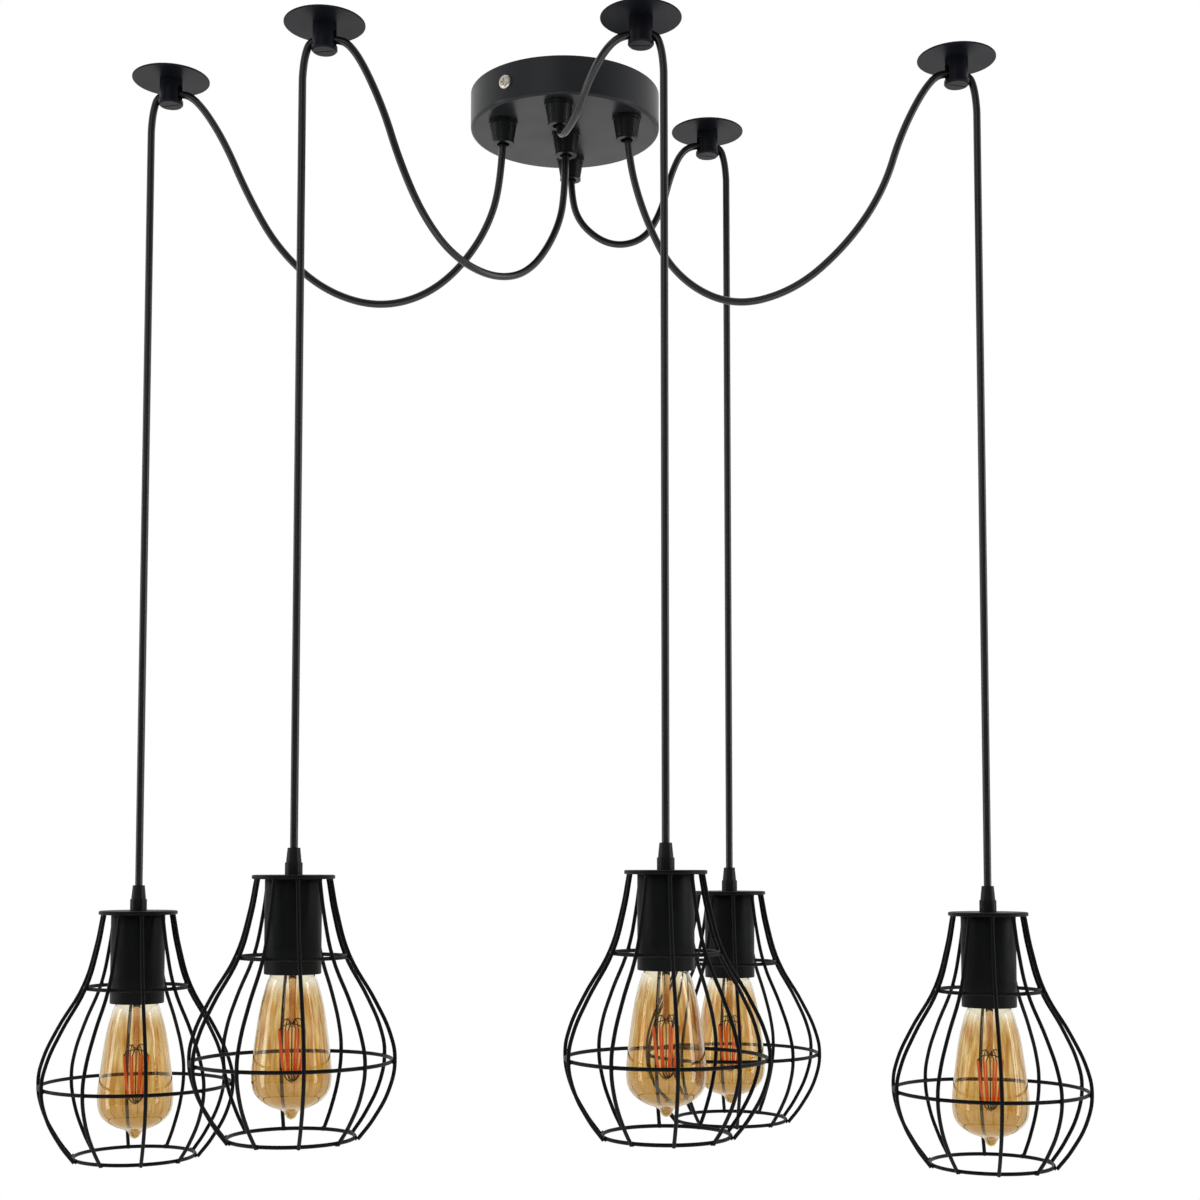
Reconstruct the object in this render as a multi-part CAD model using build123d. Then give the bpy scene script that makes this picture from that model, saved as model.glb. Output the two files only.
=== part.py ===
"""Spider pendant light: five caged lamps on cords that swag from one ceiling cup to five ceiling hooks.

Millimetres. The origin is the middle of the cup on the ceiling plane, +Z is up, +X is right and +Y is away
from the viewer of the photograph.
"""
import math
import os

from build123d import *

os.makedirs("parts", exist_ok=True)

# Shared clearances
TURNING_GAP = 0.3       # between faces of pieces that move against each other
THREAD_GAP = 0.2        # between a screw's crest line and the hole it passes
WELD_DEPTH = 0.25       # how far two welded wires bite into each other
SQUEEZE = 0.05          # how far a cup grip's bore bites into the cord
CUT_OVERLAP = 0.01      # by which one cut runs into the next

# Cord
CORD_R = 3.25
TURNING_BORE_R = CORD_R + TURNING_GAP      # bore in which a lamp's grip turns on the cord
SQUEEZE_BORE_R = CORD_R - SQUEEZE          # bore of a grip that squeezes the cord

# Ceiling cup
CUP_R = 86.0
CUP_HEIGHT = 34.0
CUP_WALL = 1.2
CUP_EDGE_R = 3.0
CUP_FLOOR = CUP_WALL - CUP_HEIGHT          # inside face of the floor

# Cord grips under the cup: where each stands, in the order of the lamps
GRIP_PLACES = [(-55.0, -26.0), (1.0, 0.0), (-4.0, -66.0), (4.0, 60.0), (56.0, -35.0)]
GRIP_FLANGE_R = 13.0
GRIP_FLANGE_HEIGHT = 3.5
GRIP_FLANGE_BEVEL = 0.8
GRIP_TOP_R = 11.8
GRIP_TIP_R = 9.2
GRIP_LIP_R = 9.8
GRIP_LIP_HEIGHT = 1.6
GRIP_LIP_BEVEL = 0.5
GRIP_HEIGHT = 21.0
GRIP_MOUTH_R = 5.6
GRIP_MOUTH_DEPTH = 5.0
GRIP_MOUTH_TAPER = 1.0
STEM_THREAD_R = 5.0
STEM_HOLE_R = STEM_THREAD_R + THREAD_GAP
GRIP_STEM_HEIGHT = 8.0
NUT_ACROSS = 17.0
NUT_HEIGHT = 5.0
CORD_TOP = -22.0                           # where the sheath ends inside the cup

# Bracket, its screws and the terminal block
BRACKET_AZIMUTH = 54.0                     # degrees from +X, along the strip
BRACKET_WIDTH = 20.0
BRACKET_THICK = 2.0
BRACKET_EAR_DROP = 26.0
FIXING_CIRCLE = 50.0
FIXING_HOLE_R = 2.6
FEED_HOLE_R = 7.0
SIDE_SCREW_Z = -17.0
SIDE_SCREW_R = 2.0
SIDE_HEAD_R = 6.2
SIDE_HEAD_HEIGHT = 3.2
SIDE_HEAD_EDGE_R = 2.2
SIDE_CROSS_LENGTH = 6.0
SIDE_CROSS_WIDTH = 1.1
SIDE_CROSS_DEPTH = 1.3
SIDE_SCREW_LENGTH = 8.0
SCREW_TO_BLOCK = 4.0                       # from a side screw's end to the block
POLE_PITCH = 11.0
BLOCK_EDGE = 1.5                           # past the outer poles, at both ends
BLOCK_LENGTH = 3 * POLE_PITCH + 2 * BLOCK_EDGE
BLOCK_ALONG = CUP_R - SIDE_SCREW_LENGTH - SCREW_TO_BLOCK - BLOCK_LENGTH / 2
BLOCK_WIDTH = 17.0
BLOCK_HEIGHT = 14.0
POLE_HOLE_R = 1.9
TERMINAL_SCREW_R = 1.5
TERMINAL_SCREW_LENGTH = 3.0
TERMINAL_SINK = 1.0                        # how deep a terminal screw's head lies in the block
TERMINAL_HOLE_DEPTH = 4.0
TERMINAL_SLOT = 0.6                        # width and depth of a terminal screw's slot
LEAD_R = 1.5
LEAD_HEIGHT = -10.0
LEAD_RISE = 7.0                            # from the end of the sheath up to a lead's first corner
LEAD_RUN = 9.0                             # from a lead's last corner to the block
LEAD_DEPTH = 2.5                           # how far a lead goes into the block

# Ceiling hooks: where each stands, and the azimuth in which its cord leaves towards the lamp
HOOK_PLACES = [(-352.0, -38.0), (-198.0, -146.0), (66.0, -157.0), (135.0, 78.0), (343.0, -80.0)]
HOOK_AZIMUTHS = [165.0, 170.0, 0.0, 15.0, 15.0]
DISC_R = 34.0
DISC_THICK = 1.6
DISC_BEVEL = 0.5
HOOK_STEM_R = 10.0
HOOK_STEM_END = -20.4
CROSSING_Z = -14.5                         # middle of the cord where it crosses a hook
NOTCH_GAP = 1.0
NOTCH_R = CORD_R + NOTCH_GAP               # half the width of the notch that the cord crosses
NOTCH_ROUND_Z = -11.0                      # middle of the notch's round top
PLUG_R = 6.0
HOOK_BORE_R = PLUG_R + THREAD_GAP
HOOK_BORE_TOP = -9.5
HOOK_SCREW_R = 2.25
HOOK_SEAT_R = 4.5
HOOK_SEAT_Z = -6.0
PLUG_OVERHANG = 0.9                        # of the plug's head past the stem
PLUG_HEAD_R = HOOK_STEM_R + PLUG_OVERHANG
PLUG_HEAD_HEIGHT = 4.1
PLUG_BEVEL = 1.2
PLUG_SLOT_EDGE = 3.0                       # from the end of the slot to the head's rim
PLUG_SLOT_WIDTH = 1.2
PLUG_SLOT_DEPTH = 1.0

# The cord's bend outside a hook, as distances from the hook's axis and heights
BEND_GAP = 0.2
BEND_RUN = 6.0
BEND_REACH = 2.8
BEND_START = HOOK_STEM_R + BEND_GAP
BEND_CORNER = BEND_START + BEND_RUN
DROP_OFFSET = BEND_CORNER + BEND_REACH
BEND_KNEE_Z = -26.5
BEND_END_Z = -40.0
BEND_RADII = [7.0, 30.0]
PIVOT_Z = BEND_END_Z - TURNING_GAP - CORD_R    # middle of the drop's round top end

# Corners of each swag: distance along the straight line from its grip to the approach point, and height
SWAG_CORNERS = [
    [(0, -92), (14, -150), (52, -200), (105, -217), (158, -203), (196, -165), (217, -112), (245, -54)],
    [(0, -88), (12, -128), (42, -168), (80, -182), (122, -174), (152, -146), (175, -105), (196, -60)],
    [(0, -60), (10, -71), (36, -64), (66, -36)],
    [(0, -68), (8, -98), (34, -117), (64, -110), (81, -82), (91, -44)],
    [(0, -64), (18, -122), (46, -180), (98, -215), (150, -206), (194, -168), (222, -120), (239, -70)],
]
APPROACH = [30.0, 30.0, 36.0, 30.0, 30.0]  # length of the straight run into each hook
BEND_SHARE = 0.45                          # share of the shorter run that a swag's arc may use

# Lamps: how far the lowest crowns hang below the ceiling, how much higher each lamp hangs, and how far each
# is turned on its cord
HANG_LENGTH = 742.0
LAMP_RISES = [0.0, 32.0, 36.0, 15.0, 0.0]
CROWN_HEIGHTS = [rise - HANG_LENGTH for rise in LAMP_RISES]    # of each crown's top face
LAMP_TURNS = [20.0, 16.0, 4.0, 2.0, -6.0]
CROWN_R = 33.5
CROWN_THICK = 3.4
CROWN_EDGE_R = 1.2
WIRE_R = 1.6
RIB_COUNT = 10
# A rib's middle line: distance from the lamp's axis and height below the crown's top face
RIB_LINE = [(30.7, -CROWN_THICK), (46.3, -65), (67.8, -102), (79.9, -128), (83.7, -147), (79.9, -170),
            (66.4, -196), (53.3, -213)]
RIB_TANGENTS = [(0.2, 0, -1), (-0.62, 0, -0.78)]    # directions of a rib at its two ends
RING_HEIGHTS = [-65.0, -150.0, -212.8]
LAMP_NUT_R = 7.2
LAMP_NUT_HEIGHT = 10.0
LAMP_NUT_BEVEL = 0.5
LAMP_TAPER_R = 6.2
LAMP_TIP_R = 5.0
LAMP_TIP_BEVEL = 0.4
LAMP_TAPER_HEIGHT = 12.0
LAMP_STEM_LENGTH = 12.5
COVER_R = 23.0
COVER_WALL = 1.2
COVER_TOP_WALL = 2.0
COVER_BEVEL = 0.6
COVER_LENGTH = 76.5
COVER_TOP = -CROWN_THICK
COVER_END = COVER_TOP - COVER_LENGTH
SOCKET_TOP = COVER_TOP - COVER_TOP_WALL
SOCKET_BOSS_R = 12.0
SOCKET_SHOULDER = -30.0
SOCKET_R = 19.5
SOCKET_BEVEL = 1.0
SOCKET_INSET = 6.5                         # of the socket from the cover's open end
SOCKET_END = COVER_END + SOCKET_INSET
WIRING_R = 8.0
WIRING_END = -30.0
DROP_END = -18.0                           # where the drop's sheath ends inside the socket's boss

# Screw-in bulb, with heights measured from the holder's lower edge
CAP_R = 13.2
CAP_WALL = 0.6
CAP_SKIRT = 5.0
CAP_SHOULDER = 26.0
CAP_TOP_WALL = 1.5
CAP_INSIDE = CAP_SHOULDER - CAP_TOP_WALL
CAP_INSULATOR = 28.0
CAP_CONTACT = 30.0
CAP_CONTACT_R = 4.75
CAP_INSULATOR_R = 8.5
SHELL_R = CAP_R + TURNING_GAP
NECK_R = CAP_R - CAP_WALL - TURNING_GAP
NECK_TOP = 9.0
NECK_RUN = 2.4                             # from the neck's straight end to the first point of the glass line
GLASS_WALL = 0.8
GLASS_LINE = [(15.6, 2.4), (18.9, -2.5), (22.6, -14.0), (25.8, -27.7), (28.7, -47.0), (31.1, -66.4),
              (32.1, -78.0), (31.9, -86.0), (30.3, -93.5), (26.5, -100.0), (19.5, -106.0), (9.0, -110.8)]
TIP_R = 3.2
TIP_Z = -116.8
TIP_FLARE = 1.2                            # by which the tip widens where it joins the bulb
TIP_FLARE_DROP = 2.6
TIP_END_R = 2.24
TIP_END_RISE = 1.0
TIP_DISH = 0.4                             # of the glass inside, over the tip
STEM_FLARE_R = NECK_R - GLASS_WALL - TURNING_GAP
EXHAUST_R = 2.2                            # of the closed tube through which the bulb was emptied
FLARE_TOP_Z = 8.2
FLARE_RIM_Z = 7.0
FLARE_FOOT_Z = 4.0
FLARE_WIDENING = 2.0
STEM_GLASS_R = 3.4
STEM_WAIST_R = 2.6
STEM_WAIST_Z = -30.0
STEM_BEAD_R = 3.0
STEM_BEAD_Z = -41.0
STEM_BEAD_RISE = 3.0
STEM_BEAD_DROP = 1.0
STEM_BEAD_TIP = 2.0
STRAND_COUNT = 8
STRAND_R = 0.55
STRAND_BEAD = 0.15                         # by which the bead at a strand's end is thicker
STRAND_END_R = STRAND_R + STRAND_BEAD
SUPPORT_R = 0.4
POST_R = 0.6
HUB_R = 1.4
STRAND_TOP = (11.0, -45.0)
STRAND_FOOT = (6.5, -81.0)
STRAND_HUB_Z = -87.0


def turned(points):
    """A solid of revolution about Z from (radius, height) corners."""
    outline = Polyline(*[(r, 0, z) for r, z in points], close=True)
    return revolve(make_face(outline), Axis.Z)


def rod(start, end, radius):
    """A round straight rod between two points."""
    start = Vector(*start)
    end = Vector(*end)
    middle = Plane(origin=start, z_dir=end - start)
    return extrude(middle * Circle(radius), amount=(end - start).length)


def tube(points, radii, radius):
    """A round tube along straight runs joined by tangent arcs, one radius for each inner corner."""
    line = FilletPolyline(*points, radius=radii) if radii else Line(*points)
    section = Plane(origin=line @ 0, z_dir=line % 0) * Circle(radius)
    return sweep(section, path=line), line


def corner_radii(points, share=BEND_SHARE):
    """Arc radii that use the given share of the shorter run at each inner corner."""
    radii = []
    for before, corner, after in zip(points, points[1:], points[2:]):
        run_in = Vector(*corner) - Vector(*before)
        run_out = Vector(*after) - Vector(*corner)
        half_turn = math.radians(run_in.get_angle(run_out)) / 2
        radii.append(share * min(run_in.length, run_out.length) / math.tan(half_turn))
    return radii


def save(name, *solids):
    """Writes one node."""
    shape = solids[0] if len(solids) == 1 else Compound(children=list(solids))
    export_step(shape, f"parts/{name}.step")
    print(name, len(solids), round(sum(s.volume for s in solids), 1))


def direction(azimuth):
    """Level unit vector in an azimuth given in degrees from +X."""
    return Vector(math.cos(math.radians(azimuth)), math.sin(math.radians(azimuth)), 0)


# Ceiling cup, open at the ceiling
cup_outside = Pos(0, 0, -CUP_HEIGHT / 2) * Cylinder(CUP_R, CUP_HEIGHT)
cup_outside = fillet(cup_outside.edges().group_by(Axis.Z)[0], CUP_EDGE_R)
cup_inside = Pos(0, 0, CUP_FLOOR / 2) * Cylinder(CUP_R - CUP_WALL, -CUP_FLOOR)
cup_inside = fillet(cup_inside.edges().group_by(Axis.Z)[0], CUP_EDGE_R - CUP_WALL)
cup = cup_outside - cup_inside
for x, y in GRIP_PLACES:
    cup -= Pos(x, y, -CUP_HEIGHT) * Cylinder(STEM_HOLE_R, 4 * CUP_WALL)
strip = direction(BRACKET_AZIMUTH)
screw_level = Vector(0, 0, SIDE_SCREW_Z)
cup -= rod(screw_level - strip * (CUP_R + CUP_WALL), screw_level + strip * (CUP_R + CUP_WALL),
           SIDE_SCREW_R + THREAD_GAP)
save("canopy_cup", cup)

# Bracket: a strip against the ceiling with an ear at each end, modelled along X and then turned
ear_face = math.sqrt((CUP_R - CUP_WALL) ** 2 - (BRACKET_WIDTH / 2) ** 2) - THREAD_GAP
bracket = Pos(0, 0, -BRACKET_THICK / 2) * Box(2 * ear_face, BRACKET_WIDTH, BRACKET_THICK)
for side in (-1, 1):
    ear_x = side * (ear_face - BRACKET_THICK / 2)
    bracket += Pos(ear_x, 0, -BRACKET_EAR_DROP / 2) * Box(BRACKET_THICK, BRACKET_WIDTH, BRACKET_EAR_DROP)
    bracket -= Pos(side * FIXING_CIRCLE / 2, 0, 0) * Cylinder(FIXING_HOLE_R, 4 * BRACKET_THICK)
bracket -= Cylinder(FEED_HOLE_R, 4 * BRACKET_THICK)
bracket -= rod((-CUP_R, 0, SIDE_SCREW_Z), (CUP_R, 0, SIDE_SCREW_Z), SIDE_SCREW_R)
save("ceiling_bracket", Rot(0, 0, BRACKET_AZIMUTH) * bracket)

# Side screws: a domed head outside the cup and a shank through the wall into the ear
head = Pos(0, 0, CUP_R + SIDE_HEAD_HEIGHT / 2) * Cylinder(SIDE_HEAD_R, SIDE_HEAD_HEIGHT)
head = fillet(head.edges().group_by(Axis.Z)[-1], SIDE_HEAD_EDGE_R)
screw = head + Pos(0, 0, CUP_R - SIDE_SCREW_LENGTH / 2) * Cylinder(SIDE_SCREW_R, SIDE_SCREW_LENGTH)
cross_bar = Box(SIDE_CROSS_LENGTH, SIDE_CROSS_WIDTH, 2 * SIDE_CROSS_DEPTH)
for turn in (0, 90):
    screw -= Pos(0, 0, CUP_R + SIDE_HEAD_HEIGHT) * Rot(0, 0, turn) * cross_bar
screws = []
for turn in (0, 180):
    screws.append(Pos(0, 0, SIDE_SCREW_Z) * Rot(0, 0, BRACKET_AZIMUTH + turn) * Rot(0, 90, 0) * screw)
save("canopy_side_screws", *screws)

# Terminal block under the strip, with a way through for each pole
block_z = -BRACKET_THICK - BLOCK_HEIGHT / 2
block = Pos(BLOCK_ALONG, 0, block_z) * Box(BLOCK_LENGTH, BLOCK_WIDTH, BLOCK_HEIGHT)
terminal_screws = []
for pole in (-1, 0, 1):
    pole_x = BLOCK_ALONG + pole * POLE_PITCH
    block -= rod((pole_x, -BLOCK_WIDTH, LEAD_HEIGHT), (pole_x, BLOCK_WIDTH, LEAD_HEIGHT), POLE_HOLE_R)
    for side in (-1, 1):
        screw_at = Pos(pole_x, side * BLOCK_WIDTH / 4, 0)
        block_end = -BRACKET_THICK - BLOCK_HEIGHT
        block -= screw_at * Pos(0, 0, block_end) * Cylinder(TERMINAL_SCREW_R, 2 * TERMINAL_HOLE_DEPTH)
        head_z = block_end + TERMINAL_SINK
        middle_z = head_z + TERMINAL_SCREW_LENGTH / 2
        terminal = Pos(0, 0, middle_z) * Cylinder(TERMINAL_SCREW_R, TERMINAL_SCREW_LENGTH)
        terminal -= Pos(0, 0, head_z) * Box(2 * TERMINAL_SCREW_R, TERMINAL_SLOT, 2 * TERMINAL_SLOT)
        terminal_screws.append(Rot(0, 0, BRACKET_AZIMUTH) * screw_at * terminal)
save("terminal_block", Rot(0, 0, BRACKET_AZIMUTH) * block)
save("terminal_screws", *terminal_screws)

# Leads from each cord's end to its pole: side of the block and pole number for each cord
across = direction(BRACKET_AZIMUTH + 90)
leads = []
for (x, y), side, pole in zip(GRIP_PLACES, (1, 1, -1, 1, -1), (0, -1, -1, 1, 0)):
    face = strip * (BLOCK_ALONG + pole * POLE_PITCH) + across * (side * BLOCK_WIDTH / 2)
    inner_end = face - across * (side * LEAD_DEPTH) + Vector(0, 0, LEAD_HEIGHT)
    outer_end = face + across * (side * LEAD_RUN) + Vector(0, 0, LEAD_HEIGHT)
    corners = [(x, y, CORD_TOP), (x, y, CORD_TOP + LEAD_RISE), tuple(outer_end), tuple(inner_end)]
    leads.append(tube(corners, corner_radii(corners), LEAD_R)[0])
save("lead_wires", *leads)

# Cord grips under the cup, and their nuts inside it
grip_end = -CUP_HEIGHT - GRIP_HEIGHT
flange_end = -CUP_HEIGHT - GRIP_FLANGE_HEIGHT
stem_top = -CUP_HEIGHT + GRIP_STEM_HEIGHT
grip = turned([(SQUEEZE_BORE_R, stem_top), (STEM_THREAD_R, stem_top), (STEM_THREAD_R, -CUP_HEIGHT),
               (GRIP_FLANGE_R, -CUP_HEIGHT), (GRIP_FLANGE_R, flange_end + GRIP_FLANGE_BEVEL),
               (GRIP_FLANGE_R - GRIP_FLANGE_BEVEL, flange_end), (GRIP_TOP_R, flange_end),
               (GRIP_TIP_R, grip_end + GRIP_LIP_HEIGHT), (GRIP_LIP_R, grip_end + GRIP_LIP_HEIGHT),
               (GRIP_LIP_R, grip_end + GRIP_LIP_BEVEL), (GRIP_LIP_R - GRIP_LIP_BEVEL, grip_end),
               (GRIP_MOUTH_R, grip_end),
               (GRIP_MOUTH_R, grip_end + GRIP_MOUTH_DEPTH),
               (SQUEEZE_BORE_R, grip_end + GRIP_MOUTH_DEPTH + GRIP_MOUTH_TAPER)])
save("canopy_cord_grips", *[Pos(x, y, 0) * grip for x, y in GRIP_PLACES])
nut = extrude(RegularPolygon(NUT_ACROSS / 2, 6, major_radius=False), amount=NUT_HEIGHT)
nut -= Pos(0, 0, NUT_HEIGHT / 2) * Cylinder(STEM_THREAD_R, 2 * NUT_HEIGHT)
save("canopy_grip_nuts", *[Pos(x, y, CUP_FLOOR) * nut for x, y in GRIP_PLACES])

# Ceiling hooks: disc and stem in one. The cord is laid up into the stem's notch, and a plug screwed into
# the bore closes it from below. Modelled with the cord leaving along +X.
hook = turned([(0, 0), (DISC_R - DISC_BEVEL, 0), (DISC_R, -DISC_BEVEL), (DISC_R, -DISC_THICK + DISC_BEVEL),
               (DISC_R - DISC_BEVEL, -DISC_THICK), (HOOK_STEM_R, -DISC_THICK), (HOOK_STEM_R, HOOK_STEM_END),
               (0, HOOK_STEM_END)])
hook -= Cylinder(HOOK_SCREW_R, -2 * HOOK_STEM_END)
seat_length = HOOK_SEAT_Z - HOOK_BORE_TOP
hook -= Pos(0, 0, HOOK_SEAT_Z - seat_length / 2) * Cylinder(HOOK_SEAT_R, seat_length + CUT_OVERLAP)
bore_length = HOOK_BORE_TOP - HOOK_STEM_END
hook -= Pos(0, 0, HOOK_BORE_TOP - bore_length / 2) * Cylinder(HOOK_BORE_R, bore_length)
hook -= rod((-2 * HOOK_STEM_R, 0, NOTCH_ROUND_Z), (2 * HOOK_STEM_R, 0, NOTCH_ROUND_Z), NOTCH_R)
notch_length = NOTCH_ROUND_Z - HOOK_STEM_END
hook -= Pos(0, 0, HOOK_STEM_END) * Box(4 * HOOK_STEM_R, 2 * NOTCH_R, 2 * notch_length)
plug_end = HOOK_STEM_END - PLUG_HEAD_HEIGHT
plug = turned([(0, CROSSING_Z - CORD_R), (PLUG_R, CROSSING_Z - CORD_R), (PLUG_R, HOOK_STEM_END),
               (PLUG_HEAD_R, HOOK_STEM_END), (PLUG_HEAD_R, plug_end + PLUG_BEVEL),
               (PLUG_HEAD_R - PLUG_BEVEL, plug_end), (0, plug_end)])
plug -= Pos(0, 0, plug_end) * Box(2 * (PLUG_HEAD_R - PLUG_SLOT_EDGE), PLUG_SLOT_WIDTH, 2 * PLUG_SLOT_DEPTH)
hook_frames = [Pos(x, y, 0) * Rot(0, 0, a) for (x, y), a in zip(HOOK_PLACES, HOOK_AZIMUTHS)]
save("ceiling_hooks", *[f * hook for f in hook_frames])
save("hook_clamp_plugs", *[f * plug for f in hook_frames])

# Swags: down through the grip, round to the approach point, then straight through the hook's notch
drop_places = []
for n, (grip_at, hook_at, azimuth) in enumerate(zip(GRIP_PLACES, HOOK_PLACES, HOOK_AZIMUTHS)):
    leave = direction(azimuth)
    hook_middle = Vector(*hook_at, CROSSING_Z)
    approach = hook_middle - leave * APPROACH[n]
    hook_exit = hook_middle + leave * BEND_START
    foot = Vector(*grip_at, 0)
    along = Vector(approach.X - foot.X, approach.Y - foot.Y, 0).normalized()
    corners = [(foot.X, foot.Y, CORD_TOP)]
    for distance, height in SWAG_CORNERS[n]:
        corners.append(tuple(foot + along * distance + Vector(0, 0, height)))
    corners += [tuple(approach), tuple(hook_exit)]
    radii = corner_radii(corners)
    swag, line = tube(corners, radii, CORD_R)
    print("swag", n + 1, "radii", [round(r, 1) for r in radii], "length", round(line.length, 1),
          "section times length", round(math.pi * CORD_R ** 2 * line.length, 1))
    save(f"cord_swag_{n + 1}", swag)
    drop_at = Vector(*hook_at, 0) + leave * DROP_OFFSET
    drop_places.append((drop_at.X, drop_at.Y))
    bend_points = [tuple(hook_exit), tuple(hook_middle + leave * BEND_CORNER),
                   (drop_at.X, drop_at.Y, BEND_KNEE_Z), (drop_at.X, drop_at.Y, BEND_END_Z)]
    bend, line = tube(bend_points, BEND_RADII, CORD_R)
    print("bend", n + 1, "radii", BEND_RADII, "length", round(line.length, 1),
          "section times length", round(math.pi * CORD_R ** 2 * line.length, 1))
    save(f"cord_bend_{n + 1}", bend)

# One lamp's pieces, modelled with the crown's top face at height 0 and one rib towards -Y
lamp_grip_top = LAMP_NUT_HEIGHT + LAMP_TAPER_HEIGHT
lamp_grip = turned([(TURNING_BORE_R, lamp_grip_top), (LAMP_TIP_R - LAMP_TIP_BEVEL, lamp_grip_top),
                    (LAMP_TIP_R, lamp_grip_top - LAMP_TIP_BEVEL), (LAMP_TAPER_R, LAMP_NUT_HEIGHT),
                    (LAMP_NUT_R - LAMP_NUT_BEVEL, LAMP_NUT_HEIGHT),
                    (LAMP_NUT_R, LAMP_NUT_HEIGHT - LAMP_NUT_BEVEL), (LAMP_NUT_R, 0), (STEM_THREAD_R, 0),
                    (STEM_THREAD_R, -LAMP_STEM_LENGTH), (TURNING_BORE_R, -LAMP_STEM_LENGTH)])

crown = Pos(0, 0, -CROWN_THICK / 2) * Cylinder(CROWN_R, CROWN_THICK)
crown = fillet(crown.edges(), CROWN_EDGE_R) - Cylinder(STEM_HOLE_R, 4 * CROWN_THICK)
rib_line = Spline(*[(r, 0, z) for r, z in RIB_LINE], tangents=RIB_TANGENTS)
rib = sweep(Plane(origin=rib_line @ 0, z_dir=rib_line % 0) * Circle(WIRE_R), path=rib_line)


def ring_at(height):
    """A ring inside the ribs, resting on them where their middle line passes the given height."""
    low, high = 0.0, 1.0
    while high - low > 1e-6:
        middle = (low + high) / 2
        if (rib_line @ middle).Z > height:
            low = middle
        else:
            high = middle
    place = rib_line @ low
    way = rib_line % low
    inward = Vector(way.Z, 0, -way.X)
    centre = place + inward * (2 * WIRE_R - WELD_DEPTH)
    return Pos(0, 0, centre.Z) * Torus(centre.X, WIRE_R)


cage = [crown]
cage += [Rot(0, 0, -90 + i * 360 / RIB_COUNT) * rib for i in range(RIB_COUNT)]
cage += [ring_at(height) for height in RING_HEIGHTS]

cover_in = COVER_R - COVER_WALL
cover = turned([(STEM_HOLE_R, COVER_TOP), (COVER_R - COVER_BEVEL, COVER_TOP),
                (COVER_R, COVER_TOP - COVER_BEVEL), (COVER_R, COVER_END), (cover_in, COVER_END),
                (cover_in, SOCKET_TOP), (STEM_HOLE_R, SOCKET_TOP)])
shell_top = COVER_END + CAP_CONTACT + TURNING_GAP
socket = turned([(STEM_THREAD_R, SOCKET_TOP), (SOCKET_BOSS_R, SOCKET_TOP), (SOCKET_BOSS_R, SOCKET_SHOULDER),
                 (SOCKET_R - SOCKET_BEVEL, SOCKET_SHOULDER), (SOCKET_R, SOCKET_SHOULDER - SOCKET_BEVEL),
                 (SOCKET_R, SOCKET_END), (SHELL_R, SOCKET_END), (SHELL_R, shell_top), (0, shell_top),
                 (0, WIRING_END), (WIRING_R, WIRING_END), (WIRING_R, -LAMP_STEM_LENGTH),
                 (STEM_THREAD_R, -LAMP_STEM_LENGTH)])

cap = turned([(0, CAP_CONTACT), (CAP_CONTACT_R, CAP_CONTACT), (CAP_CONTACT_R, CAP_INSULATOR),
              (CAP_INSULATOR_R, CAP_INSULATOR), (CAP_R, CAP_SHOULDER), (CAP_R, CAP_SKIRT),
              (CAP_R - CAP_WALL, CAP_SKIRT), (CAP_R - CAP_WALL, CAP_INSIDE), (0, CAP_INSIDE)])


def bulb_side(inset):
    """Half outline of the bulb from its neck to its tip, set in by the given depth, and its two ends."""
    neck = (NECK_R - inset, 0, GLASS_LINE[0][1] + NECK_RUN)
    side = [(r - inset, 0, z) for r, z in GLASS_LINE[:-1]]
    tip_r, tip_z = GLASS_LINE[-1]
    end = (tip_r, 0, tip_z + inset)
    return Spline(neck, *side, end), neck, end


outer_side, outer_neck, outer_end = bulb_side(0)
inner_side, inner_neck, inner_end = bulb_side(GLASS_WALL)
tip_z = outer_end[2]
tip = Polyline(outer_end, (TIP_R + TIP_FLARE, 0, tip_z - TIP_FLARE), (TIP_R, 0, tip_z - TIP_FLARE_DROP),
               (TIP_END_R, 0, TIP_Z + TIP_END_RISE), (0, 0, TIP_Z),
               (0, 0, inner_end[2] - TIP_DISH), inner_end)
rim = Polyline(inner_neck, (inner_neck[0], 0, NECK_TOP), (outer_neck[0], 0, NECK_TOP), outer_neck)
glass = revolve(make_face(Wire([outer_side, inner_side, *tip.edges(), *rim.edges()])), Axis.Z)

filament = turned([(0, CAP_INSIDE), (EXHAUST_R, CAP_INSIDE), (EXHAUST_R, FLARE_TOP_Z),
                   (STEM_FLARE_R, FLARE_TOP_Z), (STEM_FLARE_R, FLARE_RIM_Z),
                   (STEM_GLASS_R + FLARE_WIDENING, FLARE_FOOT_Z), (STEM_GLASS_R, 0),
                   (STEM_WAIST_R, STEM_WAIST_Z), (STEM_BEAD_R, STEM_BEAD_Z + STEM_BEAD_RISE),
                   (STEM_BEAD_R, STEM_BEAD_Z - STEM_BEAD_DROP), (0, STEM_BEAD_Z - STEM_BEAD_TIP)])
filament += rod((0, 0, STEM_BEAD_Z), (0, 0, STRAND_HUB_Z), POST_R)
filament += Pos(0, 0, STRAND_HUB_Z) * Sphere(HUB_R)
for i in range(STRAND_COUNT):
    out = direction(360 * (i + 0.5) / STRAND_COUNT)
    strand_top = out * STRAND_TOP[0] + Vector(0, 0, STRAND_TOP[1])
    strand_foot = out * STRAND_FOOT[0] + Vector(0, 0, STRAND_FOOT[1])
    filament += rod((0, 0, STEM_BEAD_Z), tuple(strand_top), SUPPORT_R)
    filament += rod(tuple(strand_top), tuple(strand_foot), STRAND_R)
    filament += rod(tuple(strand_foot), (0, 0, STRAND_HUB_Z), SUPPORT_R)
    filament += Pos(*strand_top) * Sphere(STRAND_END_R)
    filament += Pos(*strand_foot) * Sphere(STRAND_END_R)

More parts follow.
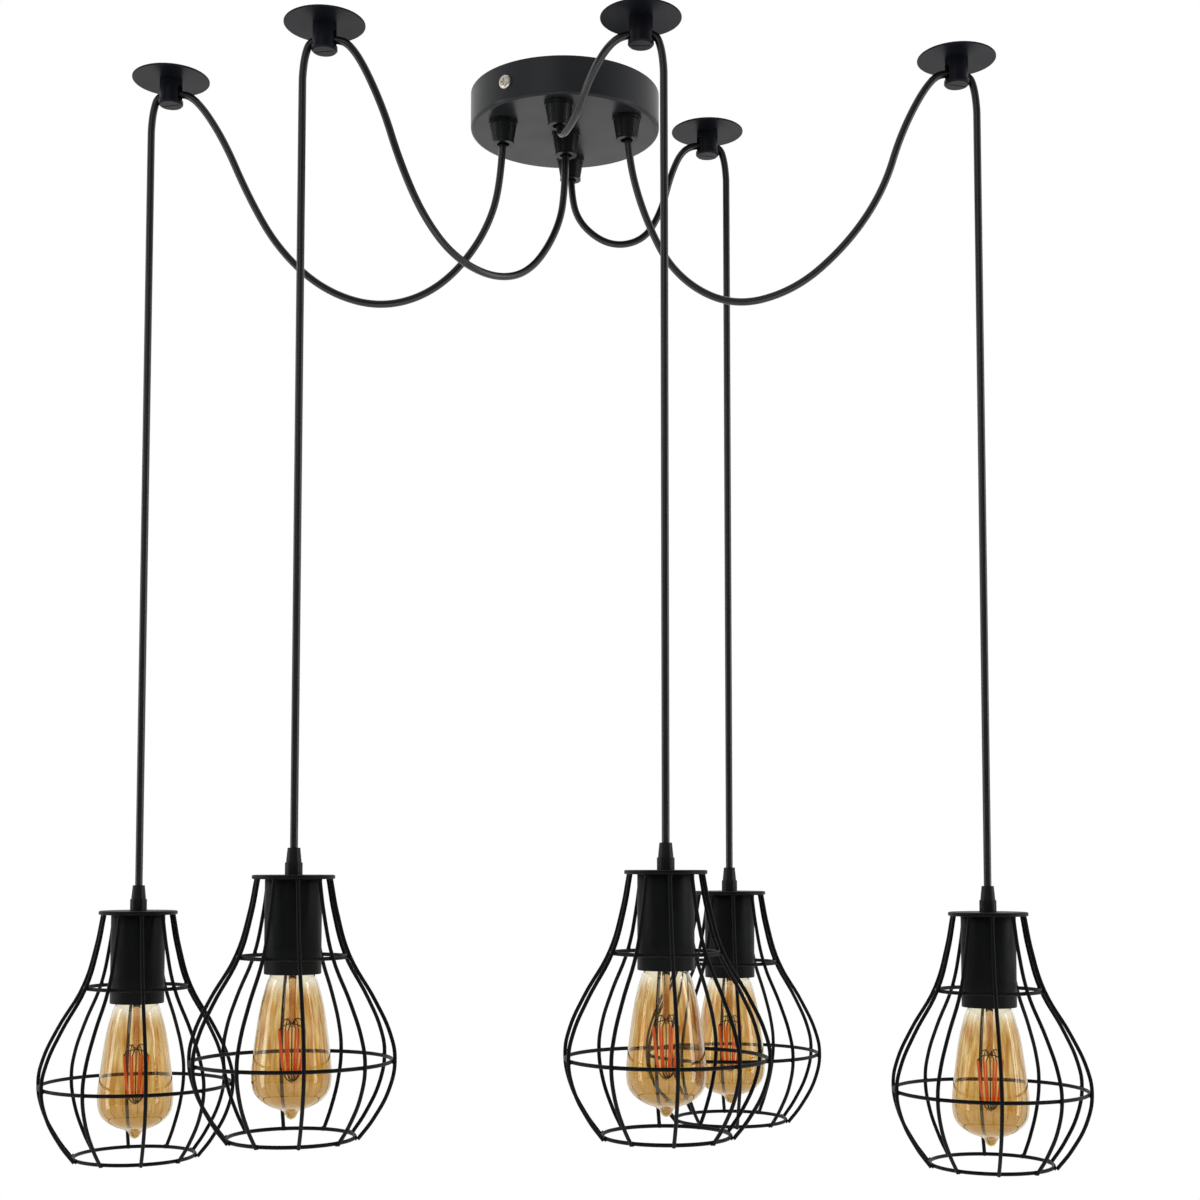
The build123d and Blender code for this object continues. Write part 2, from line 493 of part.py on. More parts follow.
# The five lamps on their drops
for n, ((x, y), crown_z, turn) in enumerate(zip(drop_places, CROWN_HEIGHTS, LAMP_TURNS)):
    lamp = Pos(x, y, crown_z) * Rot(0, 0, turn)
    bulb = lamp * Pos(0, 0, COVER_END)
    drop_length = PIVOT_Z - (crown_z + DROP_END)
    drop = Pos(x, y, PIVOT_Z - drop_length / 2) * Cylinder(CORD_R, drop_length)
    drop += Pos(x, y, PIVOT_Z) * Sphere(CORD_R)
    print("drop", n + 1, "length", round(drop_length, 1))
    save(f"cord_drop_{n + 1}", drop)
    save(f"lamp_cord_grip_{n + 1}", lamp * lamp_grip)
    save(f"wire_cage_{n + 1}", *[lamp * piece for piece in cage])
    save(f"holder_cover_{n + 1}", lamp * cover)
    save(f"lamp_socket_{n + 1}", lamp * socket)
    save(f"bulb_glass_{n + 1}", bulb * glass)
    save(f"bulb_cap_{n + 1}", bulb * cap)
    save(f"bulb_filament_{n + 1}", bulb * filament)
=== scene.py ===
# %% [markdown]
# # A spider pendant light, dressed in Blender
# One round cup on the ceiling feeds five black cords. Each cord sags to a hook of its own and then drops
# straight down to a lamp, which is an amber bulb in a pear-shaped wire cage. The solid pieces come packed
# from the CAD model, in metres, and they stay where they are. This lesson lays smooth cords over them,
# remakes the pieces that the photograph shows closely, and mixes a finish for every surface.

import math

import bmesh
import bpy
from mathutils import Matrix, Vector


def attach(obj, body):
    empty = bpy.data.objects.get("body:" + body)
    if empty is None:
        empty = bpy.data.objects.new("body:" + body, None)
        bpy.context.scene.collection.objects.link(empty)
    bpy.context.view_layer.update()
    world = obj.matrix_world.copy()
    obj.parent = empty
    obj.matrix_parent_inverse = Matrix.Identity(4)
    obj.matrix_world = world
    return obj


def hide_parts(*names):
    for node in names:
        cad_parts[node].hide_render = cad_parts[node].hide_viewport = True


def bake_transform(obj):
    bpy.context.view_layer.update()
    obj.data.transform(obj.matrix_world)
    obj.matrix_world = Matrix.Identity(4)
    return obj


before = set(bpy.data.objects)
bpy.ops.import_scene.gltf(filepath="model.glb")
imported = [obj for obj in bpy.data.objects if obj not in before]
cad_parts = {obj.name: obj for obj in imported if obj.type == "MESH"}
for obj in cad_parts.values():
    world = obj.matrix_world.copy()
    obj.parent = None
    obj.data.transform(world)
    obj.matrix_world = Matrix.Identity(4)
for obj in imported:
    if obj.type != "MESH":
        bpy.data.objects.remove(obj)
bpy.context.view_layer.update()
MM = 0.001
LAMPS = range(5)

# %% [markdown]
# ## Camera
# The photograph looks up a little from below the hooks, so the discs and the cup show their undersides
# while the cages are seen almost level. The slight tilt makes the hanging cords lean together towards the
# top, as they do in the picture. The rest of the framing comes from a small shift of the lens, because
# tilting further would make the cords lean too much.

# %% Camera where the photographer stood
LENS_MM = 54
SENSOR_MM = 36
LENS_SHIFT = 0.12
CAMERA_PLACE = (0.0321, -1.6086, -0.698)
CAMERA_TILT = 3.687    # degrees up from level
camera_lens = bpy.data.cameras.new("photo_camera")
camera_lens.lens = LENS_MM
camera_lens.sensor_width = SENSOR_MM
camera_lens.shift_y = LENS_SHIFT
camera = bpy.data.objects.new("photo_camera", camera_lens)
camera.location = CAMERA_PLACE
camera.rotation_euler = (math.radians(90 + CAMERA_TILT), 0, 0)
bpy.context.scene.collection.objects.link(camera)
bpy.context.scene.camera = camera
print("camera", camera_lens.lens, "mm lens at", list(camera.location))

# %% [markdown]
# ## Mixing a finish
# Every finish here is a Principled shader with a few nodes in front of it. Colours are easier to pick as
# the hex values that a paint program shows, but shaders count in linear light, so one function turns them.
# A second function adds any node, sets it and links it, which keeps each recipe readable as a list.

# %% Helpers for finishes
def linear(hex_colour):
    """Turns an sRGB hex value such as #1A1B1D into the linear colour that shaders use."""
    channels = [int(hex_colour[i:i + 2], 16) / 255 for i in (1, 3, 5)]
    return [c / 12.92 if c <= 0.04045 else ((c + 0.055) / 1.055) ** 2.4 for c in channels] + [1.0]


def add(tree, kind, inputs, **settings):
    """Adds one node: settings are its own properties, inputs are values or the sockets that feed it."""
    node = tree.nodes.new(kind)
    for name, value in settings.items():
        setattr(node, name, value)
    for socket, value in inputs.items():
        if isinstance(value, bpy.types.NodeSocket):
            tree.links.new(value, node.inputs[socket])
        else:
            node.inputs[socket].default_value = value
    return node


def start_finish(name, values):
    """A new material with the given values on its Principled shader."""
    finish = bpy.data.materials.new(name)
    finish.use_nodes = True
    shader = finish.node_tree.nodes["Principled BSDF"]
    for socket, value in values.items():
        shader.inputs[socket].default_value = value
    return finish, finish.node_tree, shader


# Sockets of a Mix node that mixes colours, and the two values of one that mixes plain numbers.
MIX_FACTOR, MIX_A, MIX_B, MIX_RESULT = 0, 6, 7, 2
FLOAT_A, FLOAT_B = 2, 3
print("finish helpers ready")

# %% [markdown]
# ## Cord sheath
# The cords are round mains leads in a jacket of soft black PVC, extruded in one go. Fresh PVC is close to
# black with a low waxy sheen, and handling leaves it a little uneven. A slow noise varies the tone and the
# gloss over a couple of centimetres, and a quicker one gives the skin its shallow dents.

# %% Black PVC
black_pvc, tree, shader = start_finish("black_pvc_sheath", {"IOR": 1.53})
spot = add(tree, "ShaderNodeTexCoord", {})
handling = add(tree, "ShaderNodeTexNoise",
               {"Vector": spot.outputs["Object"], "Scale": 1 / (20 * MM), "Detail": 3.0})
tone = add(tree, "ShaderNodeMix",
           {MIX_FACTOR: handling.outputs[0], MIX_A: linear("#08090A"), MIX_B: linear("#101213")},
           data_type="RGBA")
gloss = add(tree, "ShaderNodeMapRange",
            {"Value": handling.outputs[0], "From Min": 0.3, "From Max": 0.7, "To Min": 0.2, "To Max": 0.32})
# Winding on a drum leaves dents some 6 mm long and a few hundredths of a millimetre deep.
dent = add(tree, "ShaderNodeTexNoise", {"Vector": spot.outputs["Object"], "Scale": 1 / (6 * MM)})
skin = add(tree, "ShaderNodeBump", {"Height": dent.outputs[0], "Strength": 0.1, "Distance": 0.03 * MM})
tree.links.new(tone.outputs[MIX_RESULT], shader.inputs["Base Color"])
tree.links.new(gloss.outputs[0], shader.inputs["Roughness"])
tree.links.new(skin.outputs[0], shader.inputs["Normal"])
print("mixed", black_pvc.name)

# %% [markdown]
# ## The cords
# Each cord leaves its grip straight down, turns up again under its own stiffness and climbs into the notch of
# its hook. A polyline would show its corners and a tube of arcs would look like bent wire, so the route's
# points are the control points of a NURBS spline, which flows between them. Blender turns that curve into a
# mesh twice: once bare, to read the line, and once with a round section.

# %% Places that the cords join
CORD_R = 3.25
GRIP_PLACES = [(-55.0, -26.0), (1.0, 0.0), (-4.0, -66.0), (4.0, 60.0), (56.0, -35.0)]
HOOK_PLACES = [(-352.0, -38.0), (-198.0, -146.0), (66.0, -157.0), (135.0, 78.0), (343.0, -80.0)]
HOOK_AZIMUTHS = [165.0, 170.0, 0.0, 15.0, 15.0]
CROWN_HEIGHTS = [-742.0, -710.0, -706.0, -727.0, -742.0]
CORD_TOP = -22.0
CROSSING_Z = -14.5
SWAG_END = 8.0    # a swag ends this far past its hook's axis, inside the stem, where the drop takes over
DROP_OFFSET = 19.0


def level(azimuth):
    """Level unit vector in an azimuth given in degrees from +X."""
    return Vector((math.cos(math.radians(azimuth)), math.sin(math.radians(azimuth)), 0))


def above(place, height):
    """The point at a height over a place on the plan."""
    return Vector((place[0], place[1], height))


hook_ways = [level(azimuth) for azimuth in HOOK_AZIMUTHS]
drop_places = [above(hook, 0) + way * DROP_OFFSET for hook, way in zip(HOOK_PLACES, hook_ways)]
print("drops at", [(round(p.x, 1), round(p.y, 1)) for p in drop_places])

# %% Routes of the swags
# Points of each swag: distance from its grip towards its hook, and height, in millimetres.
SWAG_POINTS = [
    [(0, -86), (17, -142), (57, -190), (107, -208), (158, -194), (199, -157), (226, -110), (249, -57)],
    [(0, -90), (12, -132), (43, -174), (83, -188), (127, -179), (160, -151), (185, -110), (204, -64)],
    [(0, -58), (11, -68), (46, -63), (79, -43)],
    [(0, -68), (9, -98), (38, -118), (70, -111), (87, -82), (96, -46)],
    [(0, -64), (14, -122), (42, -181), (93, -213), (149, -202), (195, -164), (227, -118), (243, -66)],
]
# Points near a hook: distance from its axis along the cord, and height. The cord climbs into the notch.
NOTCH_POINTS = [(-25.0, -20.5), (-6.5, -13.6), (SWAG_END, CROSSING_Z)]
APPROACH = [30.0, 30.0, 36.0, 30.0, 30.0]    # how far before its hook each swag aims


def along_hook(n, points):
    """Places beside hook n, from distances along its cord's way and heights."""
    return [above(HOOK_PLACES[n], height) + hook_ways[n] * distance for distance, height in points]


def swag_route(n):
    """Control points of a swag, from its end inside the cup to its end inside the hook."""
    foot = above(GRIP_PLACES[n], 0)
    aim = above(HOOK_PLACES[n], 0) - hook_ways[n] * APPROACH[n]
    way = (aim - foot).normalized()
    route = [above(foot + way * distance, height) for distance, height in SWAG_POINTS[n]]
    return [above(foot, CORD_TOP)] + route + along_hook(n, NOTCH_POINTS)


print("swag points", [len(swag_route(n)) for n in LAMPS])

# %% Routes of the drops
DROP_END = -18.0
BEND_POINTS = [(6.5, -14.4), (13.0, -15.2), (17.0, -27.0), (18.8, -42.0)]
STRAIGHT_FROM = CROSSING_Z - 6 * 2 * CORD_R    # the drop hangs straight from six diameters below the hook


def drop_route(n):
    """Control points of a drop, from inside its hook over the bend and down into its lamp."""
    hang = [above(drop_places[n], STRAIGHT_FROM), above(drop_places[n], CROWN_HEIGHTS[n] + DROP_END)]
    return along_hook(n, BEND_POINTS) + hang


print("drop points", [len(drop_route(n)) for n in LAMPS])

# %% Turning a route into a cord
def curve_mesh(curve, radius=0.0, sides=6):
    """The mesh of a curve: a bare line of points, or a round tube where a radius is given."""
    curve.bevel_depth = radius
    curve.bevel_resolution = sides // 2 - 2
    curve.use_fill_caps = radius > 0
    holder = bpy.data.objects.new(curve.name, curve)
    mesh = bpy.data.meshes.new_from_object(holder)
    bpy.data.objects.remove(holder)
    return mesh


def lay_cord(name, route, radius, finish):
    """A round cord along a NURBS spline that has the route, in millimetres, as its control points."""
    curve = bpy.data.curves.new(name, "CURVE")
    curve.dimensions = "3D"
    curve.resolution_u = 20
    spline = curve.splines.new("NURBS")
    spline.points.add(len(route) - 1)
    for point, place in zip(spline.points, route):
        point.co = (*(place * MM), 1)
    spline.order_u = 3
    spline.use_endpoint_u = True
    path = [vertex.co.copy() for vertex in curve_mesh(curve).vertices]
    mesh = curve_mesh(curve, radius * MM, 16)
    mesh.materials.append(finish)
    mesh.shade_smooth()
    cord = bpy.data.objects.new(name, mesh)
    bpy.context.scene.collection.objects.link(cord)
    return cord, path


print("cord tools ready")

# %% Swags from the cup to the hooks
for n in LAMPS:
    swag, path = lay_cord(f"swag_{n + 1}", swag_route(n), CORD_R, black_pvc)
    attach(swag, "ceiling")
    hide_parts(f"cord_swag_{n + 1}")
    print(swag.name, "points on its line", len(path))

# %% Drops from the hooks to the lamps
# A drop bends where its lamp swings, but here its mesh is only baked into place, not tied to either body.
for n in LAMPS:
    drop, path = lay_cord(f"drop_{n + 1}", drop_route(n), CORD_R, black_pvc)
    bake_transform(drop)
    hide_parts(f"cord_bend_{n + 1}", f"cord_drop_{n + 1}")
    print(drop.name, "points on its line", len(path))

# %% [markdown]
# ## Black powder coat of the cup and hooks
# The cup and the hooks are pressed and turned steel, sprayed with black powder and baked. The cup's coat is
# satin: it mirrors a bright room softly, which is why its wall turns grey at the edges. The hooks' coat is
# darker, a little blue, and mirrors less. Baked powder is never quite flat, so a fine noise gives it an
# orange-peel skin and another varies the gloss. One function mixes both coats.

# %% Two powder coats
def powder_coat(name, dark, pale, mirror):
    """A satin baked coat between two tones; mirror is its specular level."""
    coat, tree, shader = start_finish(name, {"IOR": 1.5, "Specular IOR Level": mirror})
    spot = add(tree, "ShaderNodeTexCoord", {})
    cloud = add(tree, "ShaderNodeTexNoise",
                {"Vector": spot.outputs["Object"], "Scale": 1 / (35 * MM), "Detail": 3.0})
    tone = add(tree, "ShaderNodeMix",
               {MIX_FACTOR: cloud.outputs[0], MIX_A: linear(dark), MIX_B: linear(pale)}, data_type="RGBA")
    gloss = add(tree, "ShaderNodeMapRange",
                {"Value": cloud.outputs[0], "From Min": 0.3, "From Max": 0.7, "To Min": 0.28, "To Max": 0.38})
    # Orange peel on a baked coat repeats every millimetre or so; 1.5 mm is as fine as the render shows.
    peel = add(tree, "ShaderNodeTexNoise", {"Vector": spot.outputs["Object"], "Scale": 1 / (1.5 * MM)})
    skin = add(tree, "ShaderNodeBump", {"Height": peel.outputs[0], "Strength": 0.06, "Distance": 0.05 * MM})
    tree.links.new(tone.outputs[MIX_RESULT], shader.inputs["Base Color"])
    tree.links.new(gloss.outputs[0], shader.inputs["Roughness"])
    tree.links.new(skin.outputs[0], shader.inputs["Normal"])
    return coat


satin_coat = powder_coat("satin_black_powder_coat", "#202123", "#28292C", 0.22)
hook_coat = powder_coat("blue_black_powder_coat", "#0E0F14", "#16171D", 0.1)
print("mixed", satin_coat.name, hook_coat.name)

# %% Dress the cup and the hooks
def dress(node, finish):
    """Gives a CAD node that keeps its shape a finish of its own."""
    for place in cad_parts[node].material_slots:
        place.material = finish


dress("canopy_cup", satin_coat)
dress("ceiling_hooks", hook_coat)
dress("hook_clamp_plugs", hook_coat)
print("dressed the cup, the hooks and their clamp plugs")

# %% [markdown]
# ## Turned pieces
# Most of the other pieces are round: grips, crowns, holders, bulbs. On a lathe a piece like that is an
# outline turned about an axis, and in Blender the spin operator does the same. The outlines are in
# millimetres with the axis on Z. Sharp corners never look real, so a small bevel breaks them.

# %% Helpers for turned pieces
def turned(outline, steps=72, closed=True):
    """Spins an outline of (radius, height) corners about Z."""
    shape = bmesh.new()
    corners = [shape.verts.new((radius, 0, height)) for radius, height in outline]
    ring = corners + corners[:1] if closed else corners
    edges = [shape.edges.new(pair) for pair in zip(ring, ring[1:])]
    bmesh.ops.spin(shape, geom=corners + edges, cent=(0, 0, 0), axis=(0, 0, 1), dvec=(0, 0, 0),
                   angle=2 * math.pi, steps=steps, use_merge=True)
    bmesh.ops.remove_doubles(shape, verts=shape.verts, dist=0.001)
    bmesh.ops.recalc_face_normals(shape, faces=shape.faces)
    return shape


def break_edges(shape, width, segments=2, over=25):
    """Bevels the edges that turn by more than the given angle in degrees."""
    sharp = [edge for edge in shape.edges if edge.is_manifold and edge.calc_face_angle() > math.radians(over)]
    bmesh.ops.bevel(shape, geom=sharp, offset=width, offset_type="OFFSET", segments=segments, profile=0.5,
                    affect="EDGES", material=-1, clamp_overlap=True)


def pattern(name, shape, smooth_below=35):
    """Keeps a finished shape as a mesh, shaded smooth except over edges sharper than the angle."""
    mesh = bpy.data.meshes.new(name)
    shape.to_mesh(mesh)
    shape.free()
    mesh.shade_smooth()
    mesh.set_sharp_from_angle(angle=math.radians(smooth_below))
    return mesh


def set_piece(name, mesh, place, finish, body, node):
    """Puts a copy of a pattern in its place, in metres, on its body, where it stands for a CAD node."""
    own = mesh.copy()
    own.name = name
    own.transform(Matrix.Scale(MM, 4) @ place)
    if finish:
        own.materials.append(finish)
    piece = bpy.data.objects.new(name, own)
    bpy.context.scene.collection.objects.link(piece)
    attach(piece, body)
    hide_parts(node)
    return piece


print("lathe ready")

# %% [markdown]
# ## Moulded grips
# A nylon grip squeezes each cord where it leaves the cup. It is one moulding: a flange, a taper with fine
# ribs for the fingers, a rolled lip and an open mouth. The ribs are every second face of the spun taper,
# pushed out with an inset, so they are part of the mesh and not only painted on.

# %% Black nylon
black_nylon, tree, shader = start_finish("moulded_black_nylon", {"IOR": 1.53, "Specular IOR Level": 0.25})
spot = add(tree, "ShaderNodeTexCoord", {})
# Spark-eroded moulds leave a grain of about 0.2 mm; it is drawn at 0.6 mm so that it shows.
mould = add(tree, "ShaderNodeTexNoise",
            {"Vector": spot.outputs["Object"], "Scale": 1 / (0.6 * MM), "Detail": 2.0})
tone = add(tree, "ShaderNodeMix",
           {MIX_FACTOR: mould.outputs[0], MIX_A: linear("#08090B"), MIX_B: linear("#111315")},
           data_type="RGBA")
gloss = add(tree, "ShaderNodeMapRange",
            {"Value": mould.outputs[0], "From Min": 0.3, "From Max": 0.7, "To Min": 0.3, "To Max": 0.45})
skin = add(tree, "ShaderNodeBump", {"Height": mould.outputs[0], "Strength": 0.15, "Distance": 0.05 * MM})
tree.links.new(tone.outputs[MIX_RESULT], shader.inputs["Base Color"])
tree.links.new(gloss.outputs[0], shader.inputs["Roughness"])
tree.links.new(skin.outputs[0], shader.inputs["Normal"])
print("mixed", black_nylon.name)

# %% Ribbed grips under the cup
GRIP_OUTLINE = [(3.3, -26.0), (5.0, -26.0), (5.0, -34.0), (13.0, -34.0), (13.0, -37.5), (11.6, -37.5),
                (9.0, -53.4), (9.8, -53.4), (9.8, -55.0), (5.6, -55.0), (5.6, -50.0), (3.3, -49.0)]
RIB_TOP_Z = -37.6
RIB_FOOT_Z = -53.3


def raise_ribs(shape, low, high, every, margin, height):
    """Pushes out evenly spaced faces of the band between two heights, to stand as fine ribs."""
    band = [face for face in shape.faces
            if low < face.calc_center_median().z < high and abs(face.normal.z) < 0.5
            and face.normal.xy.dot(face.calc_center_median().xy) > 0]
    band.sort(key=lambda face: math.atan2(face.calc_center_median().y, face.calc_center_median().x))
    bmesh.ops.inset_individual(shape, faces=band[::every], thickness=margin, depth=height)


grip_shape = turned(GRIP_OUTLINE, steps=72)
raise_ribs(grip_shape, RIB_FOOT_Z, RIB_TOP_Z, every=2, margin=0.12, height=0.3)
grip_pattern = pattern("grip", grip_shape, smooth_below=30)
for n in LAMPS:
    set_piece(f"canopy_grip_{n + 1}", grip_pattern, Matrix.Translation(above(GRIP_PLACES[n], 0)),
              black_nylon, "ceiling", "canopy_cord_grips")
print("grips, faces each", len(grip_pattern.polygons))

# %% [markdown]
# ## The cage
# A cage is round steel wire: ten ribs bent to the outline of a pear, three hoops inside them, and a plate
# on top that carries everything. The ribs are welded under the plate and to the hoops, and the small weld
# beads show where the wires cross. The whole cage is coated matt black, flatter than the cup.

# %% Matt black coat
matt_coat, tree, shader = start_finish("matt_black_coat", {"IOR": 1.5, "Specular IOR Level": 0.12})
spot = add(tree, "ShaderNodeTexCoord", {})
cloud = add(tree, "ShaderNodeTexNoise",
            {"Vector": spot.outputs["Object"], "Scale": 1 / (14 * MM), "Detail": 4.0})
tone = add(tree, "ShaderNodeMix",
           {MIX_FACTOR: cloud.outputs[0], MIX_A: linear("#050607"), MIX_B: linear("#090B0C")},
           data_type="RGBA")
gloss = add(tree, "ShaderNodeMapRange",
            {"Value": cloud.outputs[0], "From Min": 0.3, "From Max": 0.7, "To Min": 0.42, "To Max": 0.56})
# Dipped wire keeps soft runs about 4 mm long, a few hundredths of a millimetre high.
run_off = add(tree, "ShaderNodeTexNoise", {"Vector": spot.outputs["Object"], "Scale": 1 / (4 * MM)})
skin = add(tree, "ShaderNodeBump", {"Height": run_off.outputs[0], "Strength": 0.1, "Distance": 0.05 * MM})
tree.links.new(tone.outputs[MIX_RESULT], shader.inputs["Base Color"])
tree.links.new(gloss.outputs[0], shader.inputs["Roughness"])
tree.links.new(skin.outputs[0], shader.inputs["Normal"])
print("mixed", matt_coat.name)

# %% Wires that follow a line
def through_points(name, lines, resolution=6):
    """A curve that passes smoothly through the points of each line."""
    curve = bpy.data.curves.new(name, "CURVE")
    curve.dimensions = "3D"
    curve.resolution_u = resolution
    for line in lines:
        spline = curve.splines.new("BEZIER")
        spline.bezier_points.add(len(line) - 1)
        for knot, place in zip(spline.bezier_points, line):
            knot.co = place
            knot.handle_left_type = "AUTO"
            knot.handle_right_type = "AUTO"
    return curve


WIRE_R = 1.6
RIB_COUNT = 10
RIB_LINE = [(30.7, -3.4), (36.0, -31.0), (46.3, -65.0), (67.8, -102.0), (79.9, -128.0), (83.7, -147.0),
            (79.9, -170.0), (66.4, -196.0), (54.2, -211.8)]
rib_curve = through_points("rib", [[(radius, 0, height) for radius, height in RIB_LINE]])
rib_mesh = curve_mesh(rib_curve, WIRE_R, 12)
print("rib faces", len(rib_mesh.polygons))

# %% Ribs and their weld beads
HOOPS = [(43.61, -66.21), (80.78, -149.94), (51.15, -210.96)]    # radius and height of each hoop's wire
WELDS = [(30.8, -3.8), (44.9, -65.6), (82.2, -149.97), (52.6, -211.0)]
BEAD = (1.1, 2.2, 2.1)


def round_cage(i):
    """The turn that takes the rib on +X to the place of rib i, with rib 0 towards the viewer."""
    return Matrix.Rotation(math.radians(-90 + i * 360 / RIB_COUNT), 4, "Z")


ribs_shape = bmesh.new()
for i in range(RIB_COUNT):
    rib = rib_mesh.copy()
    rib.transform(round_cage(i))
    ribs_shape.from_mesh(rib)
    for radius, height in WELDS:
        spot_weld = round_cage(i) @ Matrix.Translation((radius, 0, height)) @ Matrix.Diagonal((*BEAD, 1))
        bmesh.ops.create_uvsphere(ribs_shape, u_segments=8, v_segments=6, radius=1, matrix=spot_weld)
ribs_pattern = pattern("ribs", ribs_shape, smooth_below=50)
print("ribs of one cage, faces", len(ribs_pattern.polygons))

# %% Hoops and crown plate
hoops_shape = bmesh.new()
for radius, height in HOOPS:
    section = Matrix.Translation((radius, 0, height)) @ Matrix.Rotation(math.pi / 2, 4, "X")
    circle = bmesh.ops.create_circle(hoops_shape, segments=12, radius=WIRE_R, matrix=section)["verts"]
    loop = list({edge for vertex in circle for edge in vertex.link_edges})
    bmesh.ops.spin(hoops_shape, geom=circle + loop, cent=(0, 0, 0), axis=(0, 0, 1), dvec=(0, 0, 0),
                   angle=2 * math.pi, steps=96, use_merge=True)
bmesh.ops.recalc_face_normals(hoops_shape, faces=hoops_shape.faces)
hoops_pattern = pattern("hoops", hoops_shape)

CROWN_OUTLINE = [(5.2, 0), (33.5, 0), (33.5, -3.4), (5.2, -3.4)]
CROWN_BEVEL = 1.2
crown_shape = turned(CROWN_OUTLINE, steps=96)
break_edges(crown_shape, CROWN_BEVEL, segments=4)
crown_pattern = pattern("crown", crown_shape)
print("hoops", len(hoops_pattern.polygons), "crown", len(crown_pattern.polygons), "faces")

# %% Set the five cages
LAMP_TURNS = [20.0, 16.0, 4.0, 2.0, -6.0]
lamp_places = []
for n in LAMPS:
    stand = above(drop_places[n], CROWN_HEIGHTS[n])
    lamp_places.append(Matrix.Translation(stand) @ Matrix.Rotation(math.radians(LAMP_TURNS[n]), 4, "Z"))
    for word, mesh in (("ribs", ribs_pattern), ("hoops", hoops_pattern), ("crown", crown_pattern)):
        set_piece(f"cage_{word}_{n + 1}", mesh, lamp_places[n], matt_coat, f"lamp_{n + 1}",
                  f"wire_cage_{n + 1}")
print("five cages set")

# %% [markdown]
# ## Lamp grip and holder cover
# On the crown stands a small nylon gland that holds the cord, with fine ribs for the fingers. Below it a
# plain steel sleeve hides the lamp holder. Both are turned pieces. The sleeve's edge is thin sheet, so its
# bevel is less than half a millimetre.

# %% Gland and sleeve
GLAND_OUTLINE = [(3.55, 22.0), (5.0, 22.0), (6.2, 10.0), (7.0, 10.0), (7.0, 0), (5.0, 0), (5.0, -12.5),
                 (3.55, -12.5)]
NUT_BAND = (0.5, 9.5)
TAPER_BAND = (10.5, 21.5)
gland_shape = turned(GLAND_OUTLINE, steps=60)
raise_ribs(gland_shape, *NUT_BAND, every=3, margin=0.1, height=0.2)
raise_ribs(gland_shape, *TAPER_BAND, every=3, margin=0.1, height=0.15)
gland_pattern = pattern("gland", gland_shape, smooth_below=30)

COVER_END = -79.9
SLEEVE_OUTLINE = [(5.2, -3.4), (23.0, -3.4), (23.0, COVER_END), (21.8, COVER_END), (21.8, -5.4), (5.2, -5.4)]
SLEEVE_BEVEL = 0.45
sleeve_shape = turned(SLEEVE_OUTLINE, steps=96)
break_edges(sleeve_shape, SLEEVE_BEVEL)
sleeve_pattern = pattern("sleeve", sleeve_shape)
for n in LAMPS:
    set_piece(f"lamp_gland_{n + 1}", gland_pattern, lamp_places[n], black_nylon, f"lamp_{n + 1}",
              f"lamp_cord_grip_{n + 1}")
    set_piece(f"holder_sleeve_{n + 1}", sleeve_pattern, lamp_places[n], matt_coat, f"lamp_{n + 1}",
              f"holder_cover_{n + 1}")
print("glands and sleeves set")

# %% [markdown]
# ## Bakelite lamp holder
# Inside each sleeve sits the real lamp holder, pressed from bakelite. The photograph hides it, but it shows
# from below and when a bulb is unscrewed. The CAD shape is right, so it only gets its finish: a dark brown
# resin with wood flour in it, which gives faint flecks and a hard gloss.

# %% Brown-black bakelite
bakelite, tree, shader = start_finish("pressed_bakelite", {"IOR": 1.6, "Roughness": 0.3})
spot = add(tree, "ShaderNodeTexCoord", {})
# Wood flour gives flecks of about 1 mm.
flour = add(tree, "ShaderNodeTexNoise",
            {"Vector": spot.outputs["Object"], "Scale": 1 / (1.0 * MM), "Detail": 4.0})
tone = add(tree, "ShaderNodeMix",
           {MIX_FACTOR: flour.outputs[0], MIX_A: linear("#120D0A"), MIX_B: linear("#241811")},
           data_type="RGBA")
tree.links.new(tone.outputs[MIX_RESULT], shader.inputs["Base Color"])
for n in LAMPS:
    dress(f"lamp_socket_{n + 1}", bakelite)
print("dressed the lamp holders with", bakelite.name)

# %% [markdown]
# ## Amber bulb
# The bulb is blown glass with a thin amber lustre, which thins out at the neck and leaves a clear band
# there. Vertical streaks vary the amber, and towards the bottom they fade into one even tone. Its
# outline is a smooth curve, spun into a skin, and a Solidify modifier gives the skin a wall of glass. A
# number stored on each point says how far it is below the neck, and the finish reads it.

# %% Amber glass
amber_glass, tree, shader = start_finish(
    "amber_lustre_glass", {"IOR": 1.5, "Roughness": 0.0, "Transmission Weight": 1.0})
depth = add(tree, "ShaderNodeAttribute", {}, attribute_name="below_neck")
cover = add(tree, "ShaderNodeMapRange",
            {"Value": depth.outputs["Fac"], "From Min": 2.0, "From Max": 22.0},
            interpolation_type="SMOOTHSTEP")
lower_band = add(tree, "ShaderNodeMapRange",
           {"Value": depth.outputs["Fac"], "From Min": 60.0, "From Max": 112.0},
           interpolation_type="SMOOTHSTEP")
spot = add(tree, "ShaderNodeTexCoord", {})
